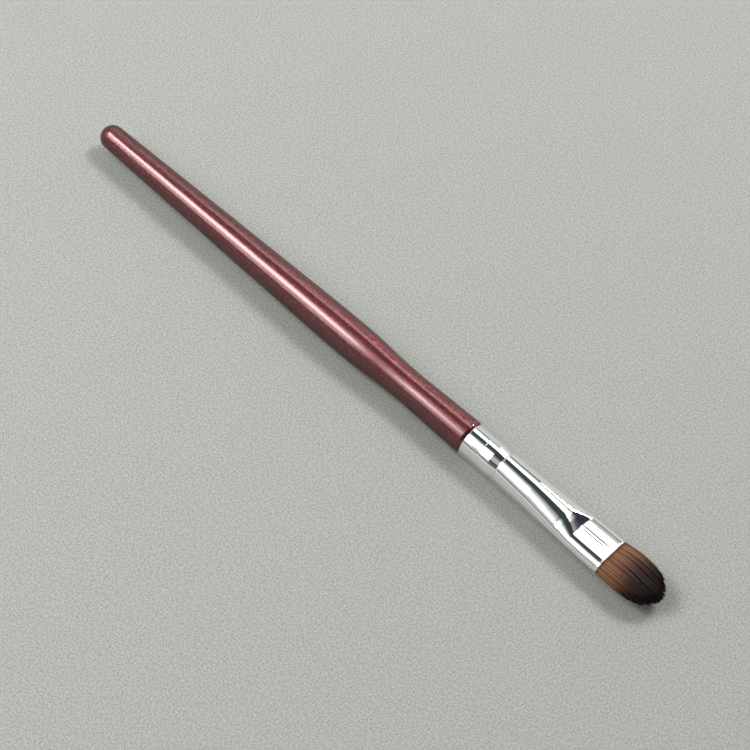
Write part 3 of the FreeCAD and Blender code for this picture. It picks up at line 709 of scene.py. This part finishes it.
def make_held_hairs():
    """Tan hairs packed side by side, grooved along the brush."""
    finish, tree, shader, place = new_finish("held_filament")
    strand = mottle(tree, stretched(tree, place, share=0.03), size=0.12 * mm)
    feed(tree, shader, {
        "Base Color": fade(tree, strand, [(0.0, paint(96, 62, 42)), (1.0, paint(168, 118, 84))]),
        "Roughness": mottle(tree, place, size=0.5 * mm, low=0.45, high=0.6),
        "Normal": raise_surface(tree, strand, depth=0.03 * mm)})
    return finish


bundle_columns = columns_per_groove * groove_count
tied_outline = np.array([[root_low.x, tied_radius], [resin_end, tied_radius]])
tied_rings = turned_rings(tied_outline, bundle_columns)
bundle_turn = np.linspace(0, 2 * np.pi, bundle_columns, endpoint=False)
bundle_places = np.linspace(resin_end + spread_length, root_high.x, bundle_ring_count) - rear_x
bundle_insets = np.full(bundle_ring_count, ferrule_wall + bundle_gap)
spread_rings = ferrule_section(bundle_places, bundle_insets, np.cos(bundle_turn), np.sin(bundle_turn))
grooves = 1 - groove_depth / tied_radius * (1 + np.cos(groove_count * bundle_turn))
bundle_middle = np.array([0, axis_z])
spread_rings[:, :, 1:] = bundle_middle + (spread_rings[:, :, 1:] - bundle_middle) * grooves[:, None]
bundle = skin("held_hairs", np.concatenate([tied_rings, spread_rings]), make_held_hairs())
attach(bundle, "handle_and_ferrule")
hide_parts("bristle_roots")


# Stage. A wide sheet of pale grey felt lies under the brush. Soft lamps hang to the left and the right of
# the camera, with dim cards between and beyond them, and the room is pale up to the lamps' lower rims.

roll = np.radians(12.5)
camera_azimuth = np.radians(43.29)
camera_elevation = np.radians(63.83)
camera_distance = 550 * mm
camera_target = np.array([2.29, -1.25, 0]) * mm
focal_pixels = 2702.6
picture_pixels = 750
lamp_height = 0.7
lamp_gap = 0.005
turn_matrix = np.array([[1, 0, 0], [0, np.cos(roll), -np.sin(roll)], [0, np.sin(roll), np.cos(roll)]])
axis_point = np.array([0, 0, axis_z])


def stand(name, data, right, up, back, place):
    """Object with its axes along right, up and back, in a table frame that is rolled about the brush."""
    axes = turn_matrix @ np.stack([right, up, back], axis=1)
    spot = axis_point + turn_matrix @ (place - axis_point)
    thing = bpy.data.objects.new(name, data)
    thing.matrix_world = Matrix.Translation(spot.tolist()) @ Matrix(axes.tolist()).to_4x4()
    bpy.context.scene.collection.objects.link(thing)
    return thing


to_right = np.array([np.cos(camera_azimuth), np.sin(camera_azimuth), 0])
away = np.array([-np.sin(camera_azimuth), np.cos(camera_azimuth), 0])
upright = np.array([0, 0, 1.0])

# Lamps and cards: name, middle and size (to the right, away) as shares of their height, turn seen from
# above, brightness at the middle, whether gloss mirrors it, and whether it lights matt surfaces.
# The strong lamp throws the shadow, and the glint lamp is its image in the gloss.
lamps = [
    ("left_soft_lamp", (-0.84, -0.06), (1.7, 1.1), 20, 4.3, True, True),
    ("left_lamp_middle", (-0.62, 0.16), (0.6, 0.9), 0, 11.5, True, True),
    ("right_soft_lamp", (0.38, 0.88), (1.5, 0.7), -47, 2.8, True, True),
    ("right_lamp_end", (0.57, 0.52), (0.4, 0.4), -47, 4.5, True, True),
    ("right_strong_lamp", (0.8, 0.76), (0.95, 0.75), 45, 19.5, False, True),
    ("right_glint_lamp", (1.22, 1.3), (0.45, 0.45), 45, 160.0, True, False),
    ("far_card", (0.4, 1.8), (1.0, 1.6), 0, 1.2, True, True),
    ("rear_card", (-0.35, 0.92), (0.7, 0.7), 0, 1.4, True, True),
    ("ceiling_card", (-0.12, 0.05), (0.5, 0.6), 0, 0.35, True, True),
    ("front_card", (-0.26, -0.42), (0.95, 0.32), 48, 0.45, True, True)]


def soften(light):
    """Let a lamp fade from its core to nothing at its rim, both given as shares of its size."""
    core = 0.15
    rim = 0.5
    light.use_nodes = True
    tree = light.node_tree
    spot = add_node(tree, "ShaderNodeNewGeometry", {}).outputs["Parametric"]
    from_middle = add_node(tree, "ShaderNodeVectorMath",
                           {0: spot, 1: (0.5, 0.5, 0.0)}, operation="DISTANCE")
    glow = add_node(tree, "ShaderNodeMapRange",
                    {"Value": from_middle.outputs["Value"], "From Min": rim, "From Max": core},
                    interpolation_type="SMOOTHSTEP")
    feed(tree, tree.nodes["Emission"], {"Strength": glow.outputs["Result"]})


for order, (name, middle, size, lamp_turn, brightness, mirrored, lighting) in enumerate(lamps):
    light = bpy.data.lights.new(name, "AREA")
    light.shape = "RECTANGLE"
    height = lamp_height - order * lamp_gap
    light.size = size[0] * height
    light.size_y = size[1] * height
    light.energy = np.pi * brightness * light.size * light.size_y
    soften(light)
    place = height * (middle[0] * to_right + middle[1] * away + upright)
    lamp_right = np.cos(np.radians(lamp_turn)) * to_right + np.sin(np.radians(lamp_turn)) * away
    lamp = stand(name, light, lamp_right, np.cross(upright, lamp_right), upright, place)
    lamp.visible_camera = False
    lamp.visible_glossy = mirrored
    lamp.visible_diffuse = lighting

lens = bpy.data.cameras.new("camera")
lens.sensor_width = 36
lens.lens = lens.sensor_width * focal_pixels / picture_pixels
lens.clip_start = 0.01
lens.clip_end = 20
camera_back = np.cos(camera_elevation) * -away + np.sin(camera_elevation) * upright
camera_up = np.cross(camera_back, to_right)
camera_place = camera_target + camera_distance * camera_back
bpy.context.scene.camera = stand("camera", lens, to_right, camera_up, camera_back, camera_place)


def make_room(world):
    """Room seen in the plating: pale up to the lamps' rims, and dark overhead.

    Towards the end of the handle a thin dark rim and a pale grey band lie between the two. The height of a
    view over the table picks the colour, and its way along the brush fades from one end to the other.
    """
    world.use_nodes = True
    tree = world.node_tree
    way = add_node(tree, "ShaderNodeTexCoord", {}).outputs["Generated"]
    table_way = add_node(tree, "ShaderNodeMapping", {"Vector": way, "Rotation": (-roll, 0, 0)})
    parts = add_node(tree, "ShaderNodeSeparateXYZ", {"Vector": table_way.outputs["Vector"]}).outputs
    handle_end = fade(tree, parts["Z"], [
        (0.0, paint(204, 205, 201)), (0.38, paint(216, 217, 213)), (0.40, paint(40, 44, 43)),
        (0.46, paint(40, 44, 43)), (0.48, paint(176, 178, 176)), (0.64, paint(196, 198, 196)),
        (0.68, paint(62, 74, 70)), (1.0, paint(60, 70, 67))])
    tuft_end = fade(tree, parts["Z"], [
        (0.0, paint(204, 205, 201)), (0.38, paint(216, 217, 213)), (0.41, paint(54, 51, 62)),
        (1.0, paint(62, 59, 70))])
    share = add_node(tree, "ShaderNodeMapRange", {"Value": parts["X"], "From Min": -0.04, "From Max": 0.06})
    tone = add_node(tree, "ShaderNodeMixRGB",
                    {"Fac": share.outputs["Result"], "Color1": handle_end, "Color2": tuft_end})
    feed(tree, tree.nodes["Background"], {"Color": tone.outputs["Color"], "Strength": 1.0})


room = bpy.data.worlds.new("room")
make_room(room)
bpy.context.scene.world = room


def make_felt():
    """Pale grey felt: short fibres as a fine uneven grain."""
    finish, tree, shader, place = new_finish("grey_felt")
    nap = mottle(tree, place, size=0.38 * mm)
    feed(tree, shader, {
        "Base Color": fade(tree, nap, [(0.0, paint(136, 137, 132)), (1.0, paint(178, 179, 174))]),
        "Roughness": mottle(tree, place, size=5 * mm, low=0.85, high=0.95),
        "Normal": raise_surface(tree, nap, depth=0.07 * mm)})
    return finish


floor_reach = 3.0
floor_corners = floor_reach * np.array([(-1, -1, 0), (1, -1, 0), (1, 1, 0), (-1, 1, 0)])
floor = make_piece("felt_floor", floor_corners, [(0, 1, 2, 3)], make_felt())

bpy.context.scene.view_settings.view_transform = "Standard"
